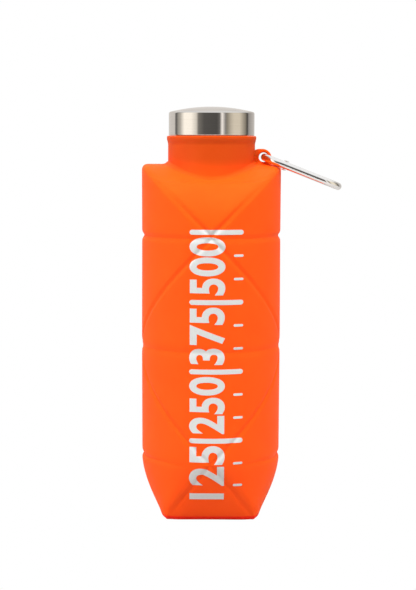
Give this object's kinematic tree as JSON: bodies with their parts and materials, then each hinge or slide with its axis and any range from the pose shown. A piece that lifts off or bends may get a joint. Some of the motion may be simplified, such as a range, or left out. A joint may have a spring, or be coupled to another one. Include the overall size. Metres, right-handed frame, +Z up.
{
  "type": "folding water bottle",
  "caption": "Soft silicone bottle with diamond creases that folds down on itself, a screw cap with a steel shell and a spring carabiner on a lug.",
  "frame": {"origin": "middle of the flat foot that the bottle stands on", "axes": "+Z up along the bottle's axis, +X towards the hanging lug and the carabiner, -Y is the front"},
  "size_m": [0.1089, 0.0772, 0.223],
  "materials": {
    "silicone": "matte, slightly silky moulded silicone",
    "neck_plastic": "natural moulded polypropylene",
    "cap_steel": "satin turned stainless steel",
    "cap_plastic": "moulded polypropylene",
    "seal_silicone": "translucent silicone",
    "nickel": "nickel plated steel wire",
    "spring_steel": "drawn spring wire"
  },
  "bodies": {
    "base": {"base_foot": "silicone", "wall_section_4": "silicone"},
    "fold_ring_3": {"wall_section_3": "silicone"},
    "fold_ring_2": {"wall_section_2": "silicone"},
    "fold_ring_1": {"wall_section_1": "silicone"},
    "neck": {"neck_sleeve": "silicone", "neck_ring": "neck_plastic"},
    "seal": {"cap_seal": "seal_silicone"},
    "cap": {"cap_shell": "cap_steel", "cap_liner": "cap_plastic"},
    "carabiner": {"carabiner_frame": "nickel"},
    "gate": {"carabiner_gate": "nickel", "gate_rivet": "nickel", "gate_latch_pin": "nickel", "gate_spring": "spring_steel"},
    "plunger": {"gate_plunger": "spring_steel"}
  },
  "joints": [
    {"name": "fold_4", "type": "slide", "parent": "base", "child": "fold_ring_3", "axis": [0, 0, -1], "range_m": [0, 0.02212], "deforming": ["wall_section_4"]},
    {"name": "fold_3", "type": "slide", "parent": "fold_ring_3", "child": "fold_ring_2", "axis": [0, 0, -1], "range_m": [0, 0.04515], "deforming": ["wall_section_3"]},
    {"name": "fold_2", "type": "slide", "parent": "fold_ring_2", "child": "fold_ring_1", "axis": [0, 0, -1], "range_m": [0, 0.04515], "deforming": ["wall_section_2"]},
    {"name": "fold_1", "type": "slide", "parent": "fold_ring_1", "child": "neck", "axis": [0, 0, -1], "range_m": [0, 0.0222], "deforming": ["wall_section_1"]},
    {"name": "cap_lift", "type": "slide", "parent": "neck", "child": "seal", "axis": [0, 0, 1], "range_m": [0, 0.0151]},
    {"name": "cap_turn", "type": "hinge", "parent": "seal", "child": "cap", "pos_m": [0, 0, 0.2], "axis": [0, 0, 1], "range_deg": [0, 1080]},
    {"name": "carabiner_swing", "type": "hinge", "parent": "neck", "child": "carabiner", "pos_m": [0.02875, 0, 0.1958], "axis": [0, -1, 0], "range_deg": [0, 114]},
    {"name": "gate_hinge", "type": "hinge", "parent": "carabiner", "child": "gate", "pos_m": [0.04058, 0.0096, 0.19119], "axis": [-0.3633, 0, -0.9317], "range_deg": [0, 35], "stiffness_Nm_per_rad": 0.01, "springref_deg": -22.92},
    {"name": "plunger_slide", "type": "slide", "parent": "gate", "child": "plunger", "axis": [0.9317, 0, -0.3633], "range_m": [0, 0.0004], "deforming": ["gate_spring"]}
  ],
  "couplings": [
    {"joint": "fold_4", "follows": "fold_3", "ratio": 0.49003},
    {"joint": "fold_2", "follows": "fold_3", "ratio": 1},
    {"joint": "fold_1", "follows": "fold_3", "ratio": 0.49169},
    {"joint": "cap_lift", "follows": "cap_turn", "m_per_rad": 0.00079577},
    {"joint": "plunger_slide", "follows": "gate_hinge", "m_per_rad": 0.00059}
  ]
}
